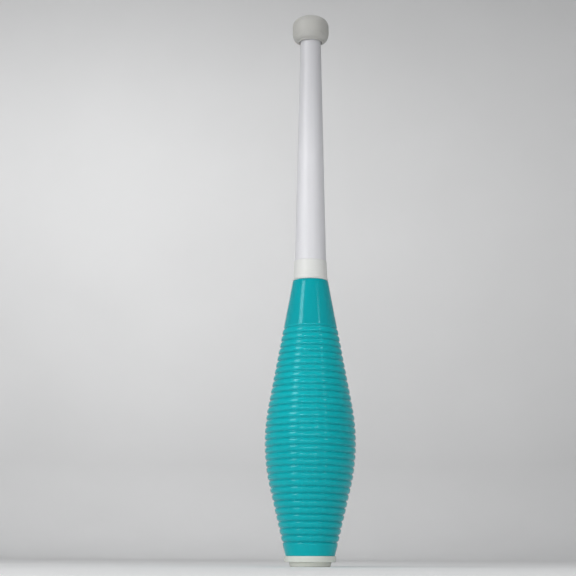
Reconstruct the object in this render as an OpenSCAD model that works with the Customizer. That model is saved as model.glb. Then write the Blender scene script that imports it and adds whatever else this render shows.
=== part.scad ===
// Multi-piece juggling club. It stands on its end cap: the origin is the centre of the cap's
// underside and +Z runs along the club's axis towards the knob. Millimetres.

/* [Club] */
// Overall length, from the end cap's underside to the knob's crown
club_len = 520; // [500:1:540]

/* [End cap] */
// Height of the lower tier that the club stands on
tier_h = 4; // [3:0.5:6]
// Diameter of the lower tier at its top
tier_d = 38; // [34:0.5:42]
// Height of the flange under the body
flange_h = 5.4; // [4:0.2:8]
// Diameter of the flange
flange_d = 46.3; // [46.2:0.1:48]

/* [Body] */
// Length of the body
body_len = 251; // [245:1:257]
// Diameter of the body at the end cap
foot_d = 44.6; // [44:0.1:46]
// Diameter of the body's top edge
neck_d = 32.7; // [31.5:0.1:34]
// Slope of the lower cone against the axis, in degrees
lower_slope = 13.4; // [13:0.05:13.5]
// Slope of the upper cone against the axis, in degrees
upper_slope = 10.6; // [10.3:0.05:10.8]
// Radius of the arc that joins the two cones at the belly
belly_r = 180; // [150:1:190]
// Mean wall thickness of the blow-moulded shell
body_wall = 1.3; // [1:0.1:2]

/* [Ribs] */
// Number of grooves round the body
groove_count = 33; // [10:1:33]
// Distance from groove to groove
groove_pitch = 6.05; // [5.8:0.01:6.1]
// Depth of a groove below the rib crests
groove_depth = 1.3; // [0.6:0.1:1.8]
// Shape of a rib: 2 is an even arc, a higher power has a broader crest and a narrower groove
rib_power = 3; // [2:0.5:4]
// Height of the smooth band between the body's foot and the first groove
foot_band = 12.1; // [10:0.1:14]

/* [Neck collar] */
// Visible height of the collar
collar_h = 18.6; // [14:0.2:22]
// Diameter of the collar where it meets the body
collar_d = 32.4; // [31.5:0.1:34]
// Diameter of the collar where it meets the handle
collar_top_d = 30.2; // [29.8:0.1:31]

/* [Handle] */
// Diameter of the handle sleeve at its foot
sleeve_foot_d = 29.1; // [28.5:0.1:29.6]
// Diameter of the handle sleeve at the knob
sleeve_top_d = 19.6; // [19.2:0.1:20.5]
// Wall thickness of the handle sleeve
sleeve_wall = 1.3; // [1:0.1:1.5]
// Number of foam rings between the core and the sleeve
foam_count = 3; // [2:1:5]

/* [Knob] */
// Diameter of the knob
knob_d = 34.5; // [32:0.1:38]
// Length of the knob from its lip to its crown
knob_len = 25.6; // [24:0.1:28]
// Outside diameter of the knob's lip
lip_d = 24.6; // [23.5:0.1:26]

/* [Core and screws] */
// Diameter of the wooden core dowel
dowel_d = 15; // [14:0.5:16]
// Thread diameter of the wood screws
screw_d = 4; // [3.5:0.1:4.5]
// Length of the wood screws under the head
screw_len = 38; // [30:1:45]

/* [Hidden] */
$fn = 96;
gap = 0.05;

// Heights of the joints between the pieces
body_z = tier_h + flange_h;
neck_z = body_z + body_len;
sleeve_z = neck_z + collar_h;
lip_z = club_len - knob_len;

// End cap, inside
cap_floor = 3;
plug_wall = 2.2;
plug_h = 11;
boss_r = 10.5;
boss_h = 20;
cap_rib_count = 6;
cap_rib_t = 1.6;
end_recess_r = 9;
tier_edge_r = 1.5;
tier_taper = 0.5;
edge_r = 1;

// Body, inside: a short straight throat grips the end cap's plug
throat_r = foot_d/2 - 1.4;
throat_h = 3;
foot_edge_r = 0.7;
rib_steps = 8;
inner_steps = 4;
inner_ripple = 0.5;
run_out = 1.6;
run_out_dip = 0.25;
neck_edge = 0.6;
first_groove_z = body_z + foot_band;
last_groove_z = first_groove_z + (groove_count - 1)*groove_pitch;
crest_rise = groove_depth/(rib_power + 1);

// Neck bush and collar
bush_r = 10.5;
bush_wall = 2;
bush_gap = 0.2;
bush_seat_h = 12;
bush_top = 12;
spigot_h = 8;
rim_h = 2;
rim_bead_r = 0.8;
rim_inset = 0.4;
rim_step = 0.3;
collar_edge_r = 0.6;

// Handle sleeve: tapered up to the knob, straight inside it
sleeve_end_z = lip_z + 7.5;
sleeve_edge_r = 0.5;
foam_h = 14;

// Knob
dowel_top_z = club_len - 12;
knob_floor = 3.5;
knob_recess_r = 6.5;
lip_relief_r = sleeve_top_d/2 + 0.8;
lip_relief_h = 1.5;
belt_z = lip_z + 9;
dome_z = club_len - 10;
dome_h = 10.5;
dome_power = 2.27;
arc_steps = 14;

// Screws and washers
pilot_r = screw_d/2;
washer_t = 1.2;
end_washer_r = 8;
knob_washer_r = 6;
screw_head_r = 3.9;
screw_head_h = 2.2;
screw_tip = 5;
cross_w = 1;
cross_l = 4.6;
cross_depth = 1.3;

// Mean radius of the body at height z: two cones joined by the belly arc, which touches both
lower_r0 = foot_d/2 - crest_rise;
function lower_cone(z) = lower_r0 + tan(lower_slope)*(z - body_z);
function upper_cone(z) = neck_d/2 + tan(upper_slope)*(neck_z - z);
corner_z = (neck_d/2 + tan(upper_slope)*neck_z - lower_r0 + tan(lower_slope)*body_z)
    /(tan(lower_slope) + tan(upper_slope));
tangent_len = belly_r*tan((lower_slope + upper_slope)/2);
belly_start_z = corner_z - tangent_len*cos(lower_slope);
belly_end_z = corner_z + tangent_len*cos(upper_slope);
belly_mid_z = belly_start_z + belly_r*sin(lower_slope);
belly_mid_r = lower_cone(belly_start_z) - belly_r*cos(lower_slope);
function belly_arc(z) = belly_mid_r + sqrt(belly_r^2 - (z - belly_mid_z)^2);
function skin_r(z) = z < belly_start_z ? lower_cone(z) : z > belly_end_z ? upper_cone(z) : belly_arc(z);

// Height of the ribbed surface over the mean one. off_crest is 0 at a rib's crest and 1 in a groove
function off_crest(z) = let (turn = (z - first_groove_z)/groove_pitch) abs(2*(turn - floor(turn)) - 1);
function rib_rise(z) = crest_rise - groove_depth*pow(off_crest(z), rib_power);

// Heights along the ribbed length, with a given number of points to each rib
function rib_heights(steps) = [for (i = [0:(groove_count - 1)*steps])
    first_groove_z + i*groove_pitch/steps];

// Points of an arc from angle a to angle b, round the centre [r, z]
function arc(r, z, radius, a, b, steps = 4) = [for (i = [0:steps])
    [r + radius*cos(a + (b - a)*i/steps), z + radius*sin(a + (b - a)*i/steps)]];

function sleeve_r(z) = z > lip_z ? sleeve_top_d/2
    : sleeve_foot_d/2 + (sleeve_top_d - sleeve_foot_d)/2*(z - sleeve_z)/(lip_z - sleeve_z);

module body_shell() {
    outer = concat(
        arc(foot_d/2 - foot_edge_r, body_z + foot_edge_r, foot_edge_r, -90, 0),
        [[skin_r(first_groove_z - groove_pitch/2) + crest_rise, first_groove_z - groove_pitch/2]],
        [for (i = [1:rib_steps/2 - 1]) let (z = first_groove_z - groove_pitch*(0.5 - i/rib_steps))
            [skin_r(z) + rib_rise(z), z]],
        [for (z = rib_heights(rib_steps)) [skin_r(z) + rib_rise(z), z]],
        [[skin_r(last_groove_z + run_out/2) - run_out_dip, last_groove_z + run_out/2],
            [skin_r(last_groove_z + run_out), last_groove_z + run_out],
            [skin_r(neck_z - neck_edge), neck_z - neck_edge], [neck_d/2 - neck_edge, neck_z]]);
    inner = concat(
        [[throat_r, body_z], [throat_r, body_z + throat_h]],
        [for (z = rib_heights(inner_steps)) [skin_r(z) - body_wall + inner_ripple*rib_rise(z), z]],
        [[neck_d/2 - body_wall, neck_z]]);
    color([0.12, 0.63, 0.67]) rotate_extrude()
        polygon(concat(outer, [for (i = [len(inner) - 1:-1:0]) inner[i]]));
}

module neck_collar() {
    color([0.86, 0.86, 0.84]) rotate_extrude() polygon(concat(
        [[bush_r, neck_z], [collar_d/2 - rim_inset, neck_z]],
        arc(collar_d/2 - rim_inset, neck_z + rim_h/2, rim_bead_r, -90, 90),
        [[collar_d/2 - rim_step, neck_z + rim_h]],
        arc(collar_top_d/2 - collar_edge_r, sleeve_z - collar_edge_r, collar_edge_r, 0, 90),
        [[sleeve_r(sleeve_z) - sleeve_wall - gap, sleeve_z],
            [sleeve_r(sleeve_z + spigot_h) - sleeve_wall - gap, sleeve_z + spigot_h],
            [bush_r, sleeve_z + spigot_h]]));
}

module handle_sleeve() {
    color([0.90, 0.90, 0.91]) rotate_extrude() polygon(concat(
        [[sleeve_r(sleeve_z) - sleeve_wall, sleeve_z]],
        arc(sleeve_r(sleeve_z) - sleeve_edge_r, sleeve_z + sleeve_edge_r, sleeve_edge_r, -90, 0),
        [[sleeve_top_d/2, lip_z], [sleeve_top_d/2, sleeve_end_z],
            [sleeve_top_d/2 - sleeve_wall, sleeve_end_z], [sleeve_top_d/2 - sleeve_wall, lip_z]]));
}

// Soft knob: domed crown, straight belt and a curve in to the lip, with a sunk seat for its screw
module knob() {
    crown = [for (i = [0:arc_steps])
        let (r = knob_d/2 - (knob_d/2 - knob_recess_r)*(1 - cos(90*i/arc_steps)))
            [r, dome_z + dome_h*(1 - (2*r/knob_d)^dome_power)^(1/dome_power)]];
    under_h = belt_z - lip_z - edge_r;
    under = [for (i = [0:arc_steps/2])
        let (a = 90*i/(arc_steps/2))
            [lip_d/2 + (knob_d - lip_d)/2*sin(a), lip_z + edge_r + under_h*(1 - cos(a))]];
    color([0.80, 0.80, 0.77]) rotate_extrude() polygon(concat(
        arc(lip_d/2 - edge_r, lip_z + edge_r, edge_r, -90, -20),
        under, crown,
        [[knob_recess_r, dowel_top_z + knob_floor], [pilot_r, dowel_top_z + knob_floor],
            [pilot_r, dowel_top_z], [dowel_d/2, dowel_top_z], [dowel_d/2, sleeve_end_z],
            [sleeve_top_d/2, sleeve_end_z], [sleeve_top_d/2, lip_z + lip_relief_h],
            [lip_relief_r, lip_z + lip_relief_h/2], [lip_relief_r, lip_z]]));
}

// Two-tier cap with a plug for the body and a ribbed boss for the dowel
module end_cap() {
    color([0.82, 0.83, 0.79]) union() {
        rotate_extrude() polygon(concat(
            [[end_recess_r, 0]],
            arc(tier_d/2 - tier_taper - tier_edge_r, tier_edge_r, tier_edge_r, -90, 0),
            [[tier_d/2, tier_h]],
            arc(flange_d/2 - edge_r, tier_h + edge_r, edge_r, -90, 0),
            arc(flange_d/2 - edge_r/2, body_z - edge_r/2, edge_r/2, 0, 90),
            [[throat_r, body_z], [throat_r, body_z + plug_h], [throat_r - plug_wall, body_z + plug_h],
                [throat_r - plug_wall, tier_h + cap_floor], [boss_r, tier_h + cap_floor],
                [boss_r, tier_h + cap_floor + boss_h], [dowel_d/2, tier_h + cap_floor + boss_h],
                [dowel_d/2, tier_h + cap_floor], [pilot_r, tier_h + cap_floor], [pilot_r, tier_h],
                [end_recess_r, tier_h]]));
        for (i = [0:cap_rib_count - 1])
            rotate([0, 0, 360*i/cap_rib_count])
                translate([boss_r - 1, -cap_rib_t/2, tier_h + cap_floor - 1])
                    cube([throat_r - plug_wall - boss_r + 2, cap_rib_t, flange_h + 2]);
    }
}

module core_dowel() {
    bottom = tier_h + cap_floor;
    color([0.80, 0.65, 0.45]) difference() {
        translate([0, 0, bottom]) cylinder(h = dowel_top_z - bottom, d = dowel_d);
        translate([0, 0, bottom - 1]) cylinder(h = screw_len - cap_floor + 1, r = pilot_r);
        translate([0, 0, dowel_top_z + knob_floor - screw_len])
            cylinder(h = screw_len, r = pilot_r);
    }
}

// Bush that centres the body's neck, the collar and the handle on the dowel
module neck_bush() {
    seat_z = neck_z - bush_seat_h;
    function seat_r(z) = skin_r(z) - body_wall - bush_gap;
    color([0.25, 0.25, 0.27]) rotate_extrude() polygon([
        [dowel_d/2, seat_z], [bush_r, seat_z], [bush_r, neck_z - bush_wall],
        [seat_r(seat_z) - bush_wall, neck_z - bush_wall], [seat_r(seat_z) - bush_wall, seat_z],
        [seat_r(seat_z), seat_z], [seat_r(neck_z), neck_z],
        [bush_r, neck_z], [bush_r, sleeve_z + bush_top], [dowel_d/2, sleeve_z + bush_top]]);
}

module foam_ring(z) {
    rotate_extrude() polygon([
        [dowel_d/2, z], [sleeve_r(z) - sleeve_wall - gap, z],
        [sleeve_r(z + foam_h) - sleeve_wall - gap, z + foam_h], [dowel_d/2, z + foam_h]]);
}

module handle_foam() {
    first_z = sleeve_z + bush_top + foam_h;
    last_z = lip_z - 2*foam_h;
    color([0.30, 0.30, 0.32]) for (i = [0:foam_count - 1])
        foam_ring(first_z + (last_z - first_z)*i/(foam_count - 1));
}

// Pan-head wood screw, head down, with the head's underside at z = 0
module wood_screw() {
    difference() {
        rotate_extrude() polygon(concat(
            [[0, -screw_head_h]],
            arc(screw_head_r - 1.2, 1.2 - screw_head_h, 1.2, -90, 0),
            [[screw_head_r, 0], [pilot_r, 0], [pilot_r, screw_len - screw_tip], [0, screw_len]]));
        for (turn = [0, 90])
            rotate([0, 0, turn])
                translate([-cross_l/2, -cross_w/2, -screw_head_h - 1])
                    cube([cross_l, cross_w, cross_depth + 1]);
    }
}

module washer(radius) {
    difference() {
        cylinder(h = washer_t, r = radius);
        translate([0, 0, -1]) cylinder(h = washer_t + 2, r = pilot_r);
    }
}

module knob_screw() {
    color([0.70, 0.70, 0.68]) translate([0, 0, dowel_top_z + knob_floor + washer_t])
        mirror([0, 0, 1]) wood_screw();
}

module knob_washer() {
    color([0.75, 0.75, 0.74]) translate([0, 0, dowel_top_z + knob_floor]) washer(knob_washer_r);
}

module end_screw() {
    color([0.70, 0.70, 0.68]) translate([0, 0, tier_h - washer_t]) wood_screw();
}

module end_washer() {
    color([0.75, 0.75, 0.74]) translate([0, 0, tier_h - washer_t]) washer(end_washer_r);
}

body_shell();
neck_collar();
handle_sleeve();
knob();
end_cap();
core_dowel();
neck_bush();
handle_foam();
knob_screw();
knob_washer();
end_screw();
end_washer();
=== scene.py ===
"""Looks of the juggling club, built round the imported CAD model. All sizes are in metres."""
import math

import bmesh
import bpy
from mathutils import Matrix, Vector, noise


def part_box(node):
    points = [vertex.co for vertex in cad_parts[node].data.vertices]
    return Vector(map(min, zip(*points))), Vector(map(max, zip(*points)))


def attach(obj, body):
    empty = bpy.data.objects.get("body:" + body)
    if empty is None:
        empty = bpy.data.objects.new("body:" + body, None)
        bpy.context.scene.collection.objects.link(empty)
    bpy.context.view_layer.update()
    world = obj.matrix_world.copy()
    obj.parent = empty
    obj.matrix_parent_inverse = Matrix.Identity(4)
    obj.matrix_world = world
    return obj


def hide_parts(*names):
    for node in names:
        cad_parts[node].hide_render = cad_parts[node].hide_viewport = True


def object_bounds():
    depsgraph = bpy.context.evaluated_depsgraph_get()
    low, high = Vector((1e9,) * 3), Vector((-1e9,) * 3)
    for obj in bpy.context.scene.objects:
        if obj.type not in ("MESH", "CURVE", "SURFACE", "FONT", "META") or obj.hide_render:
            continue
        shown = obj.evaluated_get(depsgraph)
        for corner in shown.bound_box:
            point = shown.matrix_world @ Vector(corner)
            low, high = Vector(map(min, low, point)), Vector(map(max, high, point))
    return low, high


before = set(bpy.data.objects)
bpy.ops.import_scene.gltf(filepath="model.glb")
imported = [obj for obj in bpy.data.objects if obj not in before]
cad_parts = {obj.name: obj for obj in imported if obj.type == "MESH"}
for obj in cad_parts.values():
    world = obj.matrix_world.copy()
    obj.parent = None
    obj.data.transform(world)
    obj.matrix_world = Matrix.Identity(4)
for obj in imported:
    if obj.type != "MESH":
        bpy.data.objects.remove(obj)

CAD_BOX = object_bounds()
MM = 0.001


# ---------------------------------------------------------------- turned outlines from the CAD

def section(node):
    """The outline of a turned CAD node as (radius, height) points, read along its seam at angle 0.

    It runs up the outer side. A solid that reaches the axis gives an open outline between two points
    on the axis."""
    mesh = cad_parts[node].data
    grid = 1e6
    key = {v.index: (round(v.co.x*grid), round(v.co.z*grid)) for v in mesh.vertices
           if abs(v.co.y) < 1/grid and v.co.x > -1/grid}
    near = {point: set() for point in key.values()}
    for edge in mesh.edges:
        a, b = (key.get(i) for i in edge.vertices)
        if a and b and a != b and not a[0] == b[0] == 0:
            near[a].add(b)
            near[b].add(a)
    ends = sorted((p for p in near if len(near[p]) == 1), key=lambda p: p[1])
    start = ends[0] if ends else min(near, key=lambda p: (p[1], -p[0]))
    path = [start]
    ahead = max(near[start], key=lambda p: (p[1], p[0]))
    while ahead != start:
        path.append(ahead)
        onward = near[ahead] - {path[-2]}
        if not onward:
            break
        ahead = onward.pop()
    if ends:
        path = [(0, path[0][1])]*(path[0][0] > 0) + path + [(0, path[-1][1])]*(path[-1][0] > 0)
    return [(r/grid, z/grid) for r, z in path]


def straightened(outline, tolerance=2e-6):
    """The outline without the points that lie on a straight line between their neighbours."""
    kept = [outline[0]]
    for here, after in zip(outline[1:-1], outline[2:]):
        before = kept[-1]
        dr, dz = after[0] - before[0], after[1] - before[1]
        off = abs(dr*(here[1] - before[1]) - dz*(here[0] - before[0]))/max(math.hypot(dr, dz), 1e-9)
        if off > tolerance:
            kept.append(here)
    return kept + [outline[-1]]


def softened(outline, reach, closed=True):
    """The outline with every corner cut, by a quarter of its sides or by reach if that is less."""
    out = []
    count = len(outline)
    for i in range(count if closed else count - 1):
        (r0, z0), (r1, z1) = outline[i], outline[(i + 1) % count]
        length = max(math.hypot(r1 - r0, z1 - z0), 1e-9)
        t = min(0.25, reach/length)
        first = (r0 + (r1 - r0)*t, z0 + (z1 - z0)*t)
        last = (r1 - (r1 - r0)*t, z1 - (z1 - z0)*t)
        if not closed and i == 0:
            first = outline[0]
        if not closed and i == count - 2:
            last = outline[-1]
        out += [first, last]
    return out


def finished(outline, reach, closed=True, passes=2):
    for step in range(passes):
        outline = softened(outline, reach/2**step, closed)
    return outline


# ---------------------------------------------------------------- mesh building

SHARP_CORNER = math.radians(50)


def corner_angle(a, b, c):
    """How much an outline turns at b."""
    first = math.atan2(b[1] - a[1], b[0] - a[0])
    second = math.atan2(c[1] - b[1], c[0] - b[0])
    return abs((second - first + math.pi) % (2*math.pi) - math.pi)


def lathe(name, outline, segments=96, closed=True, relief=None, extra_angles=()):
    """A turned piece. relief(angle, r, z) moves the surface out or in, away from the axis."""
    angles = sorted({round(2*math.pi*i/segments, 6) for i in range(segments)}
                    | {round(a % (2*math.pi), 6) for a in extra_angles})
    bm = bmesh.new()
    rings = []
    for r, z in outline:
        if r < 1e-7:
            rings.append([bm.verts.new((0, 0, z))])
            continue
        ring = []
        for angle in angles:
            radius = r + (relief(angle, r, z) if relief else 0)
            ring.append(bm.verts.new((radius*math.cos(angle), radius*math.sin(angle), z)))
        rings.append(ring)
    count = len(rings)
    around = len(angles)
    for i in range(count if closed else count - 1):
        low, high = rings[i], rings[(i + 1) % count]
        for j in range(around):
            k = (j + 1) % around
            corners = [low[j % len(low)], low[k % len(low)], high[k % len(high)], high[j % len(high)]]
            bm.faces.new(list(dict.fromkeys(corners)))
    for face in bm.faces:
        face.smooth = True
    for i in range(count):
        if not closed and i in (0, count - 1):
            continue
        turn = corner_angle(outline[i - 1], outline[i], outline[(i + 1) % count])
        if turn > SHARP_CORNER and len(rings[i]) > 1:
            for j in range(around):
                bm.edges.get((rings[i][j], rings[i][(j + 1) % around])).smooth = False
    bmesh.ops.recalc_face_normals(bm, faces=bm.faces)
    return from_bmesh(name, bm)


def from_bmesh(name, bm):
    mesh = bpy.data.meshes.new(name)
    bm.to_mesh(mesh)
    bm.free()
    piece = bpy.data.objects.new(name, mesh)
    bpy.context.scene.collection.objects.link(piece)
    return piece


def block(centre, size, turn=0.0):
    """A box, as an object that only serves to add to or cut a piece."""
    bm = bmesh.new()
    bmesh.ops.create_cube(bm, size=1.0)
    bmesh.ops.transform(bm, verts=bm.verts, matrix=Matrix.Rotation(turn, 4, "Z")
                        @ Matrix.Translation(centre) @ Matrix.Diagonal((*size, 1)))
    return from_bmesh("tool", bm)


def combine(piece, tool, operation):
    """Adds tool to piece or cuts it out, and removes tool."""
    step = piece.modifiers.new(operation, "BOOLEAN")
    step.operation = operation
    step.object = tool
    step.solver = "EXACT"
    graph = bpy.context.evaluated_depsgraph_get()
    result = bpy.data.meshes.new_from_object(piece.evaluated_get(graph))
    piece.modifiers.clear()
    piece.data = result
    bpy.data.objects.remove(tool)


def place(piece, node, surface):
    """piece stands for a CAD node, on the club's one body and material."""
    piece.data.materials.clear()
    piece.data.materials.append(surface)
    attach(piece, "root")
    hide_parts(node)


# ---------------------------------------------------------------- materials

def groove_row():
    """Heights of the body's lowest and highest grooves and the space between grooves."""
    outline = section("body_shell")
    heights = [p[1] for before, p, after in zip(outline, outline[1:], outline[2:])
               if p[0] < min(before[0], after[0]) and before[1] < p[1] < after[1]]
    return heights[0], heights[-1], (heights[-1] - heights[0])/(len(heights) - 1)


class Surface:
    """A node material on one Principled shader, with short calls for the nodes it needs."""

    def __init__(self, name, **sockets):
        self.material = bpy.data.materials.new(name)
        self.material.use_nodes = True
        self.nodes = self.material.node_tree.nodes
        self.links = self.material.node_tree.links
        self.shader = self.nodes["Principled BSDF"]
        for socket, value in sockets.items():
            self.shader.inputs[socket.replace("_", " ")].default_value = value
        self.place = self.nodes.new("ShaderNodeTexCoord").outputs["Object"]

    def link(self, source, target):
        self.links.new(source, target)

    def stretched(self, scale):
        mapping = self.nodes.new("ShaderNodeMapping")
        mapping.inputs["Scale"].default_value = scale
        self.link(self.place, mapping.inputs["Vector"])
        return mapping.outputs["Vector"]

    def noise(self, scale, detail=3.0, roughness=0.5, stretch=(1, 1, 1), distortion=0.0):
        node = self.nodes.new("ShaderNodeTexNoise")
        node.inputs["Scale"].default_value = scale
        node.inputs["Detail"].default_value = detail
        node.inputs["Roughness"].default_value = roughness
        node.inputs["Distortion"].default_value = distortion
        self.link(self.stretched(stretch), node.inputs["Vector"])
        return node.outputs["Fac"]

    def cells(self, scale):
        node = self.nodes.new("ShaderNodeTexVoronoi")
        node.inputs["Scale"].default_value = scale
        self.link(self.place, node.inputs["Vector"])
        return node.outputs["Distance"]

    def ramp(self, source, stops):
        """Colours or grey levels at places along a 0 to 1 input."""
        node = self.nodes.new("ShaderNodeValToRGB")
        points = node.color_ramp.elements
        while len(points) < len(stops):
            points.new(0.5)
        for point, (where, value) in zip(points, stops):
            point.position = where
            point.color = (*value, 1) if isinstance(value, tuple) else (value, value, value, 1)
        self.link(source, node.inputs["Fac"])
        return node.outputs["Color"]

    def mix(self, factor, a, b, blend="MIX"):
        node = self.nodes.new("ShaderNodeMix")
        node.data_type = "RGBA"
        node.blend_type = blend
        for socket, value in ((node.inputs["Factor"], factor), (node.inputs["A"], a),
                              (node.inputs["B"], b)):
            if isinstance(value, (tuple, float, int)):
                socket.default_value = (*value, 1) if isinstance(value, tuple) else value
            else:
                self.link(value, socket)
        return node.outputs["Result"]

    def math(self, operation, *values):
        node = self.nodes.new("ShaderNodeMath")
        node.operation = operation
        for socket, value in zip(node.inputs, values):
            if isinstance(value, (float, int)):
                socket.default_value = value
            else:
                self.link(value, socket)
        return node.outputs["Value"]

    def height(self):
        """Height above the club's base, in metres."""
        node = self.nodes.new("ShaderNodeSeparateXYZ")
        self.link(self.place, node.inputs["Vector"])
        return node.outputs["Z"]

    def colour(self, source):
        self.link(source, self.shader.inputs["Base Color"])

    def roughness(self, source, low, high):
        node = self.nodes.new("ShaderNodeMapRange")
        node.inputs["To Min"].default_value = low
        node.inputs["To Max"].default_value = high
        self.link(source, node.inputs["Value"])
        self.link(node.outputs["Result"], self.shader.inputs["Roughness"])

    def bump(self, *layers):
        """Each layer is (height source, depth in metres)."""
        normal = None
        for source, depth in layers:
            node = self.nodes.new("ShaderNodeBump")
            node.inputs["Distance"].default_value = depth
            self.link(source, node.inputs["Height"])
            if normal:
                self.link(normal, node.inputs["Normal"])
            normal = node.outputs["Normal"]
        self.link(normal, self.shader.inputs["Normal"])


def body_surface():
    """Glossy blow-moulded polyethylene: slight orange peel and fine scuffs. By choice of look, the ribs
    and the foot band are painted paler than the smooth cone as painted light, and the grooves darker as
    painted shade."""
    s = Surface("body_polyethylene", IOR=1.36, Specular_Tint=(0.60, 0.95, 1.0, 1))
    cloud = s.noise(14, detail=4)
    smooth = s.ramp(cloud, [(0.3, (0.0020, 0.338, 0.380)), (0.7, (0.0030, 0.368, 0.413))])
    # Painted light: a paler copy of the teal, used below the neck on the ribs and the foot band.
    painted_rib_light = s.ramp(cloud, [(0.3, (0.0020, 0.412, 0.452)), (0.7, (0.0030, 0.448, 0.492))])
    first, last, pitch = groove_row()
    margin = 0.3
    turn = s.math("DIVIDE", s.math("SUBTRACT", s.height(), first), pitch)
    off_crest = s.math("ABSOLUTE", s.math("MULTIPLY_ADD", s.math("FRACT", turn), 2, -1))
    below_neck = s.math("LESS_THAN", turn, (last - first)/pitch + margin)
    ribbed = s.math("MULTIPLY", s.math("GREATER_THAN", turn, -margin), below_neck)
    # Painted shade: a darker teal is mixed in along each groove.
    painted_groove_shade = s.math("MULTIPLY", s.ramp(off_crest, [(0.45, 0.0), (0.80, 0.7), (1.0, 1.0)]), ribbed)
    base = s.mix(painted_groove_shade, s.mix(below_neck, smooth, painted_rib_light), (0.0012, 0.345, 0.390))
    dust = s.ramp(s.noise(1600, detail=2), [(0.70, 0.0), (0.80, 0.35)])
    s.colour(s.mix(dust, base, (0.10, 0.45, 0.48)))
    scuff = s.noise(90, detail=6, roughness=0.7, stretch=(1, 1, 6))
    s.roughness(scuff, 0.10, 0.20)
    peel = s.noise(420, detail=2)
    sink = s.noise(60, detail=1)
    s.bump((sink, 0.00010), (peel, 0.000012))
    return s.material


SLEEVE_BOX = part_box("handle_sleeve")
# Heights over which painted shade darkens the handle's colour towards the knob.
PAINTED_SHADE_LOW, PAINTED_SHADE_HIGH = SLEEVE_BOX[0][2] + 0.10, SLEEVE_BOX[1][2] - 0.03


def white_surface(name, low, high, rough, peel_depth, grain=900, subsurface=0.10):
    """Moulded white plastic: faint flow clouds, a fine grain and a few darker specks of wear."""
    s = Surface(name, IOR=1.48, Subsurface_Weight=subsurface, Subsurface_Scale=0.003,
                Subsurface_Radius=(1.0, 0.9, 0.8))
    cloud = s.noise(18, detail=5, stretch=(1, 1, 0.4))
    base = s.ramp(cloud, [(0.3, low), (0.7, high)])
    speck = s.noise(700, detail=2)
    wear = s.ramp(speck, [(0.70, 0.0), (0.82, 0.5)])
    s.colour(s.mix(wear, base, tuple(v*0.72 for v in low)))
    s.roughness(s.noise(60, detail=6, roughness=0.7), *rough)
    s.bump((s.noise(grain, detail=3), peel_depth))
    return s.material


def handle_surface():
    """Smooth tapered tube, with faint lengthwise streaks and rubbed patches, and painted shade that
    darkens it towards the knob.
    """
    s = Surface("handle_plastic", IOR=1.5, Subsurface_Weight=0.08, Subsurface_Scale=0.002,
                Subsurface_Radius=(0.9, 0.9, 1.0))
    streak = s.noise(160, detail=4, stretch=(1, 1, 0.03))
    base = s.ramp(streak, [(0.3, (0.695, 0.693, 0.718)), (0.7, (0.738, 0.736, 0.763))])
    # Painted shade: the colour darkens upwards towards the knob.
    painted_shade_end = 0.84
    painted_top_shade = s.ramp(s.height(), [(PAINTED_SHADE_LOW, 1.0), (PAINTED_SHADE_HIGH, painted_shade_end)])
    base = s.mix(1.0, base, painted_top_shade, "MULTIPLY")
    rub = s.noise(45, detail=7, roughness=0.75, stretch=(1, 1, 0.5))
    s.colour(s.mix(s.ramp(rub, [(0.60, 0.0), (0.78, 0.30)]), base, (0.56, 0.55, 0.54)))
    s.roughness(rub, 0.28, 0.50)
    s.bump((streak, 0.000015), (s.noise(900, detail=2), 0.000004))
    return s.material


def wood_surface():
    """Turned hardwood dowel: long grain on its side, short dark pores, rings on its ends."""
    s = Surface("core_hardwood", IOR=1.45)
    grain = s.noise(260, detail=5, stretch=(1, 1, 0.035), distortion=0.4)
    base = s.ramp(grain, [(0.25, (0.42, 0.24, 0.11)), (0.5, (0.60, 0.39, 0.20)),
                          (0.8, (0.70, 0.49, 0.28))])
    pores = s.noise(1500, detail=2, stretch=(1, 1, 0.05))
    s.colour(s.mix(s.ramp(pores, [(0.62, 0.0), (0.72, 0.6)]), base, (0.22, 0.11, 0.05)))
    s.roughness(grain, 0.45, 0.7)
    s.bump((grain, 0.00006), (pores, 0.00003))
    return s.material


def steel_surface(name, tint):
    """Zinc plating: pale grains of crystal and fine rubbed scratches."""
    s = Surface(name, Metallic=1.0)
    crystal = s.cells(700)
    s.colour(s.ramp(crystal, [(0.0, tuple(v*0.82 for v in tint)), (0.8, tint)]))
    scratch = s.noise(900, detail=5, stretch=(1, 0.1, 1))
    s.roughness(scratch, 0.22, 0.5)
    s.bump((scratch, 0.00001))
    return s.material


def bush_surface():
    """Dark moulded nylon with a spark-eroded grain."""
    s = Surface("bush_nylon", IOR=1.5)
    grain = s.noise(1800, detail=3)
    s.colour(s.ramp(grain, [(0.3, (0.018, 0.018, 0.020)), (0.7, (0.030, 0.030, 0.034))]))
    s.roughness(grain, 0.4, 0.62)
    s.bump((grain, 0.00004))
    return s.material


def foam_surface():
    """Closed-cell foam: rounded cells with darker walls."""
    s = Surface("cell_foam", IOR=1.4)
    cell = s.cells(1100)
    s.colour(s.ramp(cell, [(0.1, (0.045, 0.045, 0.050)), (0.7, (0.020, 0.020, 0.022))]))
    s.roughness(cell, 0.8, 0.95)
    s.bump((cell, -0.00035))
    return s.material


# ---------------------------------------------------------------- the pieces

BODY_BOX, KNOB_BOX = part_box("body_shell"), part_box("knob")
LINE_WIDTH = 0.5*MM
LINE_RISE = 0.12*MM


def line_angles(radius):
    """Angles that give a mould line its width, on both sides of the piece."""
    step = LINE_WIDTH/radius/2
    return [side + step*k for side in (0, math.pi) for k in (-2, -1, 0, 1, 2)]


def mould_line(angle, radius, rise):
    """Height of the fine ridge that the two mould halves leave at +X and -X."""
    off = min(abs(math.sin(angle)), 1)*radius
    return rise*max(0, 1 - off/LINE_WIDTH)


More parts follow.
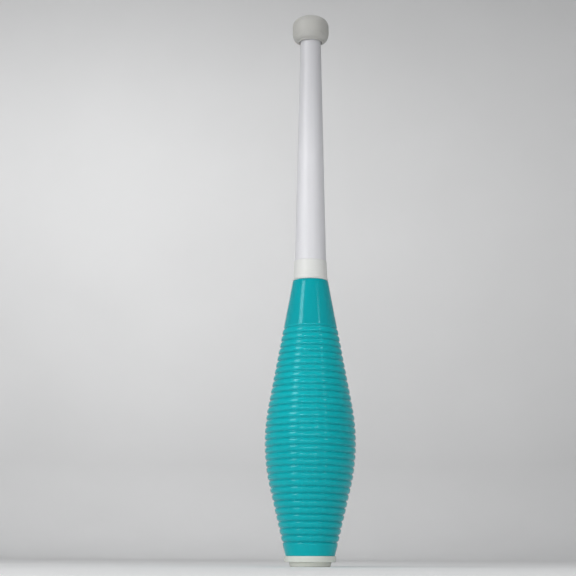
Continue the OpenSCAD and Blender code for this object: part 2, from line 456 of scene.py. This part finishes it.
def body_relief(angle, r, z):
    """Slightly uneven ribs and a line where the mould closed, never past the CAD piece's width."""
    coarse, fine = (0.10*MM, 55), (0.05*MM, 160)
    at = Vector((math.cos(angle)*r, math.sin(angle)*r, z))
    uneven = sum(depth*noise.noise(at*scale) for depth, scale in (coarse, fine))
    return min(uneven + mould_line(angle, r, LINE_RISE), BODY_BOX[1][0] - r)


def make_body():
    outline = section("body_shell")
    piece = lathe("club_body", finished(outline, 0.5*MM, passes=1), 128, relief=body_relief,
                  extra_angles=line_angles(BODY_BOX[1][0]))
    place(piece, "body_shell", body_surface())


def make_collar():
    outline = finished(section("neck_collar"), 0.25*MM)
    piece = lathe("neck_ring", outline, 96)
    place(piece, "neck_collar",
          white_surface("collar_plastic", (0.71, 0.715, 0.695), (0.745, 0.75, 0.73), (0.38, 0.55),
                        0.000012))


def make_handle():
    outline = finished(straightened(section("handle_sleeve")), 0.25*MM)
    piece = lathe("handle_tube", outline, 96)
    place(piece, "handle_sleeve", handle_surface())


def make_knob():
    """The knob, with the two fine steps that its mould leaves above the lip."""
    outline = finished(section("knob"), 0.4*MM, passes=1)
    low = KNOB_BOX[0][2]
    radius = KNOB_BOX[1][0]

    def relief(angle, r, z):
        if r < 0.7*radius:
            return 0
        steps = sum(math.exp(-((z - low - h)/(0.35*MM))**2) for h in (4.6*MM, 7.0*MM))
        return -0.22*MM*steps + mould_line(angle, r, 0.08*MM)

    piece = lathe("soft_knob", outline, 112, relief=relief, extra_angles=line_angles(radius))
    place(piece, "knob",
          white_surface("knob_soft_plastic", (0.440, 0.436, 0.412), (0.482, 0.478, 0.454), (0.48, 0.68),
                        0.00003, grain=1300, subsurface=0.15))


def make_end_cap():
    """The plug cap. The CAD outline runs over one of the six ribs that stiffen the cap's pocket, so it
    is brought down to the pocket's floor there, and all six are added to the turned piece."""
    outline = section("end_cap")
    inward = sorted((a[0] - b[0], a, b) for a, b in zip(outline, outline[1:]) if a[1] == b[1])
    wall, boss = inward[-1][1:]
    top, floor = wall[1], inward[-2][1][1]
    turned = [(r, floor if z == top else z) for r, z in outline]
    piece = lathe("end_plug_cap", finished(turned, 0.3*MM), 112)
    count, width, overlap = 6, 1.6*MM, 0.8*MM
    centre = ((boss[0] + wall[0])/2, 0, (floor - overlap + top)/2)
    size = (wall[0] - boss[0] + 2*overlap, width, top - floor + overlap)
    for i in range(count):
        combine(piece, block(centre, size, 2*math.pi*i/count), "UNION")
    place(piece, "end_cap",
          white_surface("cap_soft_plastic", (0.70, 0.715, 0.655), (0.76, 0.77, 0.71), (0.42, 0.62),
                        0.00002, grain=1100, subsurface=0.12))


def make_dowel():
    outline = finished(section("core_dowel"), 0.5*MM, closed=False)
    piece = lathe("wooden_core", outline, 64, closed=False)
    place(piece, "core_dowel", wood_surface())


def make_bush():
    piece = lathe("centring_bush", finished(section("neck_bush"), 0.2*MM), 80)
    place(piece, "neck_bush", bush_surface())


def make_screw(node, name, surface):
    """A pan-head wood screw: turned, with its thread cut in from the shank and a cross in its head."""
    outline = section(node)
    if outline[0][1] != outline[1][1]:
        outline.reverse()
    face = outline[0][1]
    inward = math.copysign(1, outline[-1][1] - face)
    head, pitch, cut, row = 4*MM, 1.8*MM, 0.42*MM, 0.22*MM
    shank_r = max(r for r, z in outline if abs(z - face) > head)
    rings = [outline[0]]
    for (r0, z0), (r1, z1) in zip(outline, outline[1:]):
        steps = max(1, round(abs(z1 - z0)/row)) if r0 <= shank_r else 1
        rings += [(r0 + (r1 - r0)*i/steps, z0 + (z1 - z0)*i/steps) for i in range(1, steps + 1)]

    def thread(angle, r, z):
        if r > 1.01*shank_r or abs(z - face) < head:
            return 0
        turn = ((z - face)/pitch - angle/(2*math.pi)) % 1
        return -cut*r/shank_r*min(1, 1.6*abs(2*turn - 1))

    piece = lathe(name, rings, 32, closed=False, relief=thread)
    across, width, depth = 4.4*MM, 1.0*MM, 1.3*MM
    for turn in (0, math.pi/2):
        centre = (0, 0, face + inward*(depth - 0.5*MM)/2)
        combine(piece, block(centre, (across, width, depth + 0.5*MM), turn), "DIFFERENCE")
    place(piece, node, surface)


def make_washer(node, name, surface):
    place(lathe(name, finished(section(node), 0.2*MM), 64), node, surface)


def make_hardware():
    screw_zinc = steel_surface("screw_zinc", (0.62, 0.61, 0.58))
    washer_zinc = steel_surface("washer_zinc", (0.68, 0.68, 0.66))
    make_screw("end_screw", "cap_wood_screw", screw_zinc)
    make_screw("knob_screw", "knob_wood_screw", screw_zinc)
    make_washer("end_washer", "cap_flat_washer", washer_zinc)
    make_washer("knob_washer", "knob_flat_washer", washer_zinc)


def finish_foam():
    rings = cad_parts["handle_foam"].data
    rings.materials.clear()
    rings.materials.append(foam_surface())


make_body()
make_collar()
make_handle()
make_knob()
make_end_cap()
make_dowel()
make_bush()
make_hardware()
finish_foam()


# ---------------------------------------------------------------- stage, light and camera

def make_stage():
    """A round sweep: a level floor that curves up into a wall, far from the club on every side."""
    floor_r, bend_r, wall_top, thickness = 1.9, 0.9, 2.6, 0.02
    outline = [(0.0, 0.0)] + [(floor_r*i/6, 0.0) for i in range(1, 7)]
    outline += [(floor_r + bend_r*math.sin(a), bend_r*(1 - math.cos(a)))
                for a in (math.radians(7.5*i) for i in range(1, 13))]
    outline += [(floor_r + bend_r, wall_top), (floor_r + bend_r + thickness, wall_top)]
    outline += [(floor_r + bend_r + thickness, -thickness), (0.0, -thickness)]
    sweep = lathe("sweep", outline, 96, closed=False)
    s = Surface("sweep_paper", Roughness=0.9, IOR=1.3)
    paper = s.ramp(s.noise(3, detail=3), [(0.3, (0.92, 0.92, 0.92)), (0.7, (0.95, 0.95, 0.95))])
    s.colour(s.mix(1.0, paper, s.ramp(s.height(), [(0.0, 1.0), (0.25, 0.825)]), "MULTIPLY"))
    sweep.data.materials.append(s.material)


CLUB_MIDDLE = Vector((0, 0, (CAD_BOX[0][2] + CAD_BOX[1][2])/2))


def softbox(name, azimuth, elevation, distance, width, height, power, spread=180):
    """An area light that faces the club. Azimuth 0 is the camera's side, positive to its right."""
    a, e = math.radians(azimuth), math.radians(elevation)
    away = Vector((math.sin(a)*math.cos(e), -math.cos(a)*math.cos(e), math.sin(e)))
    lamp = bpy.data.lights.new(name, "AREA")
    lamp.shape = "RECTANGLE"
    lamp.size, lamp.size_y = width, height
    lamp.energy = power
    lamp.spread = math.radians(spread)
    light = bpy.data.objects.new(name, lamp)
    light.location = CLUB_MIDDLE + away*distance
    light.rotation_euler = away.to_track_quat("Z", "Y").to_euler()
    light.visible_camera = False
    bpy.context.scene.collection.objects.link(light)


def wall_wash(name, across, power):
    """A light close to the wall that faces away from the club and brightens what the camera sees."""
    lamp = bpy.data.lights.new(name, "AREA")
    lamp.shape = "RECTANGLE"
    lamp.size, lamp.size_y = 0.9, 0.5
    lamp.spread = math.radians(120)
    lamp.energy = power
    light = bpy.data.objects.new(name, lamp)
    light.location = (across, 1.45, 1.35)
    light.rotation_euler = (math.radians(72), 0, 0)
    light.visible_camera = False
    bpy.context.scene.collection.objects.link(light)


# name, azimuth and elevation in degrees, distance, width and height in metres, power in watts
SOFTBOXES = [
    ("key", -47, 24, 2.2, 0.60, 1.15, 15.3),
    ("side", 42, 22, 1.3, 0.08, 0.26, 0.85),
    ("front_left", -22, 2, 1.3, 0.08, 0.12, 1.5),
    ("front_right", 16, 2, 1.3, 0.08, 0.12, 0.85),
    ("window", -62, 8, 1.8, 1.5, 1.0, 1.0),
    ("front", 0, 25, 1.7, 1.6, 1.2, 0.3),
    ("low_front", 0, -12, 0.95, 1.2, 0.12, 0.24, 50),
    ("fill", 38, 6, 1.8, 1.6, 0.8, 0.1),
    ("overhead", 0, 88, 2.0, 2.4, 2.4, 14),
]
SKY_COLOUR, SKY_STRENGTH = (0.93, 0.96, 1.0, 1), 0.14


def make_lights():
    """low_front has a narrow spread, given in degrees as its eighth value, to stay off the floor."""
    for row in SOFTBOXES:
        softbox(*row)
    wall_wash("wash_left", -0.55, 4.2)
    wall_wash("wash_right", 0.55, 1.2)
    world = bpy.data.worlds.new("studio")
    world.use_nodes = True
    sky = world.node_tree.nodes["Background"]
    sky.inputs["Color"].default_value = SKY_COLOUR
    sky.inputs["Strength"].default_value = SKY_STRENGTH
    bpy.context.scene.world = world


def make_camera():
    """Low and looking slightly up, with the club a little right of the middle."""
    distance, height, lens = 1.2478, 0.010, 85.45
    pan, tilt, roll = math.radians(-0.958), math.radians(11.063), math.radians(-0.235)
    ahead_flat = Vector((math.sin(pan), math.cos(pan), 0))
    right = Vector((math.cos(pan), -math.sin(pan), 0))
    ahead = ahead_flat*math.cos(tilt) + Vector((0, 0, math.sin(tilt)))
    up = Vector((0, 0, math.cos(tilt))) - ahead_flat*math.sin(tilt)
    axis_x = right*math.cos(roll) - up*math.sin(roll)
    axis_y = right*math.sin(roll) + up*math.cos(roll)
    data = bpy.data.cameras.new("camera")
    data.lens = lens
    data.sensor_width = 36.0
    data.clip_start = 0.01
    camera = bpy.data.objects.new("camera", data)
    turn = Matrix((axis_x, axis_y, -ahead)).transposed().to_4x4()
    camera.matrix_world = Matrix.Translation((0, -distance, height)) @ turn
    bpy.context.scene.collection.objects.link(camera)
    bpy.context.scene.camera = camera


make_stage()
make_lights()
make_camera()
bpy.context.scene.view_settings.view_transform = "Standard"
